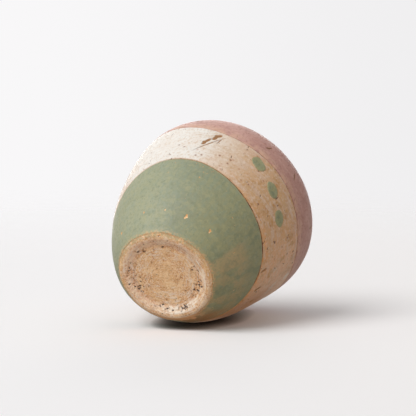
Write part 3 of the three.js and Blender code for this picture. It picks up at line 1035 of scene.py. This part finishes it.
# Pale glaze that ran a little in the firing: glossy, with iron flecks that melted out of the clay
paleGlaze = {
    "name": "pale_glaze", "ior": 1.52, "roughness": (0.22, 0.36), "sheenFollows": "broad",
    "colour": "#ece2cd", "pool": "#d5cbae", "warm": "#e2c39a", "iron": "#6f4a30",
    "masks": {
        "broad": ("patches", 13, 0.42, 0.64, 1),
    },
    "washes": [
        ("pool", 0.8, ("height", 22, 9)),
        ("warm", 0.3, "broad"),
        ("pool", 0.3, ("patches", 3, 0.46, 0.66, 2, {"squeeze": (1, 1, 0.2)})),
        ("warm", 0.8, ("fromLower", 1.6, 0.1)),
        ("iron", 0.6, ("specks", 3.1, 0.4, 0.3)),
    ],
    "bumps": [(0.02, ("patches", 2.5, 0.3, 0.7, 5))],
}


def dress(piece, material, node):
    piece.data.materials.append(material)
    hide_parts(node)
    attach(piece, "root")


dress(clayCup, makeFinish(bareClay), "clay_body")
dress(greenCoat, makeFinish(greenSlip), "green_slip_coat")
dress(creamCoat, makeFinish(creamSlip), "cream_slip_coat")
dress(mauveCoat, makeFinish(mauveSlip), "mauve_rim_coat")
dress(glazeLining, makeFinish(paleGlaze), "inner_glaze")
dabFinish = makeFinish(thickGreenSlip)
for number, dab in enumerate(slipDabs, 1):
    dress(dab, dabFinish, f"green_dab_{number}")
print("The finishes are on.")

# The camera looks at the cup from below its foot, and is rolled, because the cup lies on its side
camera = {
    "aim": (9.108, -7.256, 43.443), "distance": 730.72,
    "azimuth": 76.355, "elevation": -57.061, "roll": -40.595,
    "lens": 150.534, "sensorWidth": 36,
    "farthest": 20,  # metres
}


def cameraAxes():
    azimuth, elevation, roll = (math.radians(camera[key]) for key in ("azimuth", "elevation", "roll"))
    level = math.cos(elevation)
    back = Vector((math.sin(azimuth) * level, -math.cos(azimuth) * level, math.sin(elevation)))
    sideways = Vector((0, 0, 1)).cross(back).normalized()
    up = back.cross(sideways) * math.cos(roll) + sideways * math.sin(roll)
    return up.cross(back), up, back


def addCamera():
    lens = bpy.data.cameras.new("camera")
    lens.lens = camera["lens"]
    lens.sensor_width = camera["sensorWidth"]
    lens.clip_end = camera["farthest"]
    piece = addPiece("camera", lens)
    place = (Vector(camera["aim"]) + cameraBack * camera["distance"]) * metresPerMillimetre
    turned = Matrix((cameraRight, cameraUp, cameraBack)).transposed().to_4x4()
    piece.matrix_world = Matrix.Translation(place) @ turned
    bpy.context.scene.camera = piece


cameraRight, cameraUp, cameraBack = cameraAxes()
addCamera()

# The table top, which the cup touches with its side. Its lengths are in metres.
stage = {
    "tilt": 5,  # how far above the table the camera looks from, in degrees
    "halfWidth": 3.0,
    "cells": 40,
    "colour": "#f5f4f5",
    # painted shade: the board's colour darkens towards the right, where the light falls off
    "rightShadeColour": "#f1efef",
    "rightReach": (-0.08, 0.12),  # where the one colour turns into the other, right of the cup
    # how far the painted contact shadow reaches: ambient occlusion darkens the board's colour this close to
    # the cup
    "contactReach": 0.005,
    "fade": (0.14, 0.75),  # how far from the cup the table gives way to the backdrop
}
tilt = math.radians(stage["tilt"])
tableUp = cameraUp * math.cos(tilt) + cameraBack * math.sin(tilt)


# The point of the cup that lies the lowest
def lowestPoint():
    points = []
    for piece in (clayCup, greenCoat, creamCoat, mauveCoat):
        corners = np.empty(len(piece.data.vertices) * 3, np.float32)
        piece.data.vertices.foreach_get("co", corners)
        points.append(corners.reshape(-1, 3))
    points = np.concatenate(points)
    return Vector(points[(points @ np.array(tableUp)).argmin()].tolist())


# A square of cells that are smaller near the cup
def tableTop():
    sideways = tableUp.cross(cameraRight).normalized()
    ahead = sideways.cross(tableUp)
    cells, width = stage["cells"], stage["cells"] + 1
    spread = np.linspace(-1, 1, width)
    spread = np.sign(spread) * np.abs(spread) ** 2 * stage["halfWidth"]
    corners = [touch + ahead * x + sideways * y for y in spread for x in spread]
    starts = [row * width + column for row in range(cells) for column in range(cells)]
    faces = [(start, start + 1, start + 1 + width, start + width) for start in starts]
    mesh = bpy.data.meshes.new("table_top")
    mesh.from_pydata([tuple(corner) for corner in corners], [], faces)
    if mesh.polygons[0].normal.dot(tableUp) < 0:
        mesh.flip_normals()
    return addPiece("table_top", mesh)


# Painted board: plain, pale and matt. Ambient occlusion darkens its colour close to what stands on it, as a
# painted contact shadow, and its colour darkens a little to the right, as painted shade. Only the camera and
# reflections see it, near the cup and from above. To all else it is clear, so that the room's light from
# below reaches the cup, as light that the board throws back would.
def paintedBoard():
    material = bpy.data.materials.new("painted_board")
    tree = emptyTree(material)
    place = addNode(tree, "TexCoord").outputs["Object"]
    middle = touch.dot(cameraRight)
    shares = []
    for operation, towards, (start, end) in (
        ("DISTANCE", touch, stage["fade"]),
        ("DOT_PRODUCT", cameraRight, [middle + reach for reach in stage["rightReach"]]),
    ):
        measure = addNode(tree, "VectorMath", {0: place, 1: tuple(towards)}, operation=operation)
        levels = {"Value": measure.outputs["Value"], "From Min": start, "From Max": end}
        shares.append(addNode(tree, "MapRange", levels, interpolation_type="SMOOTHSTEP"))
    far, right = shares
    # The board's colour darkens to the right: painted shade where the light falls off
    tone = addNode(tree, "Mix", {
        mixSockets["share"]: right,
        mixSockets["under"]: linearColour(stage["colour"]),
        mixSockets["over"]: linearColour(stage["rightShadeColour"]),
    }, data_type="RGBA").outputs[mixSockets["colour"]]
    contactShade = addNode(tree, "AmbientOcclusion", {"Color": tone, "Distance": stage["contactReach"]})
    board = addNode(tree, "BsdfDiffuse", {"Color": contactShade})
    rays = addNode(tree, "LightPath").outputs
    seen = addNode(tree, "Math", {0: rays["Is Camera Ray"], 1: rays["Is Glossy Ray"]}, operation="MAXIMUM")
    unseen = addNode(tree, "Math", {0: 1, 1: seen}, operation="SUBTRACT")
    under = addNode(tree, "NewGeometry").outputs["Backfacing"]
    beyond = addNode(tree, "Math", {0: far, 1: under}, operation="MAXIMUM")
    hidden = addNode(tree, "Math", {0: beyond, 1: unseen}, operation="MAXIMUM")
    drawn = addNode(tree, "MixShader", {0: hidden, 1: board, 2: addNode(tree, "BsdfTransparent")})
    addNode(tree, "OutputMaterial", {"Surface": drawn})
    return material


touch = lowestPoint()
table = tableTop()
table.data.materials.append(paintedBoard())

# The room: a plain pale wall to the eye and in reflections, and a softer light on the cup, from the air above
# the table and from the table's own glow. A strength goes from its first value to its second as the cosine to
# its axis goes through its reach. The front's multiplies the glow's, and past the horizon air follows glow.
room = {
    "wall": {"axis": cameraRight, "reach": (-0.12, 0.14), "strengths": (0.94, 0.87), "blend": "SMOOTHSTEP"},
    "air": {"axis": tableUp, "reach": (-0.2, 1.0), "strengths": (0.17, 0.5), "blend": "LINEAR"},
    "glow": {"axis": tableUp, "reach": (-1.0, -0.2), "strengths": (0.1, 0.55), "blend": "LINEAR"},
    "front": {"axis": cameraBack, "reach": (-0.5, 0.7), "strengths": (0.6, 1.6), "blend": "LINEAR"},
    "horizon": {"axis": tableUp, "reach": (-0.3, 0.05), "strengths": (0, 1), "blend": "SMOOTHSTEP"},
}
roomColours = {"wall": "#fffeff", "air": "#fffdfb", "glow": "#ffe8d3"}


def lightRoom():
    world = bpy.data.worlds.new("room")
    bpy.context.scene.world = world
    tree = emptyTree(world)
    way = addNode(tree, "TexCoord").outputs["Generated"]
    strengths = {}
    for name, tone in room.items():
        measure = addNode(tree, "VectorMath", {0: way, 1: tuple(tone["axis"])}, operation="DOT_PRODUCT")
        (low, high), (start, end) = tone["reach"], tone["strengths"]
        strengths[name] = addNode(tree, "MapRange", {
            "Value": measure.outputs["Value"],
            "From Min": low, "From Max": high,
            "To Min": start, "To Max": end,
        }, interpolation_type=tone["blend"])
    product = {0: strengths["glow"], 1: strengths["front"]}
    strengths["glow"] = addNode(tree, "Math", product, operation="MULTIPLY")
    wall, air, glow = (
        addNode(tree, "Background", {"Color": linearColour(colour), "Strength": strengths[name]})
        for name, colour in roomColours.items()
    )
    light = addNode(tree, "MixShader", {0: strengths["horizon"], 1: glow, 2: air})
    rays = addNode(tree, "LightPath").outputs
    seen = rays["Is Camera Ray"]
    for kind in ("Is Transmission Ray", "Is Glossy Ray"):
        seen = addNode(tree, "Math", {0: seen, 1: rays[kind]}, operation="MAXIMUM")
    addNode(tree, "OutputWorld", {"Surface": addNode(tree, "MixShader", {0: seen, 1: light, 2: wall})})


lightRoom()

# Softboxes, as broad suns: where each one stands along the camera's right, up and back, its strength, and how
# many degrees of the sky it fills
lamps = {
    "key_softbox": ((-0.55, 0.7, 0.45), 2.05, 40),
    "front_softbox": ((-0.25, 0.0, 1.0), 0.5, 60),
    "rear_softbox": ((0.1, 0.2, -1.0), 1.2, 50),
    "low_softbox": ((-0.1, 0.0, -1.0), 0.3, 24),
}


def addLamp(name, place, strength, size):
    lamp = bpy.data.lights.new(name, "SUN")
    lamp.energy = strength
    lamp.angle = math.radians(size)
    towards = cameraRight * place[0] + cameraUp * place[1] + cameraBack * place[2]
    addPiece(name, lamp).rotation_euler = towards.to_track_quat("Z", "Y").to_euler()


for name, lamp in lamps.items():
    addLamp(name, *lamp)
bpy.context.scene.view_settings.view_transform = "Standard"
print("The camera, table and lamps are set.")
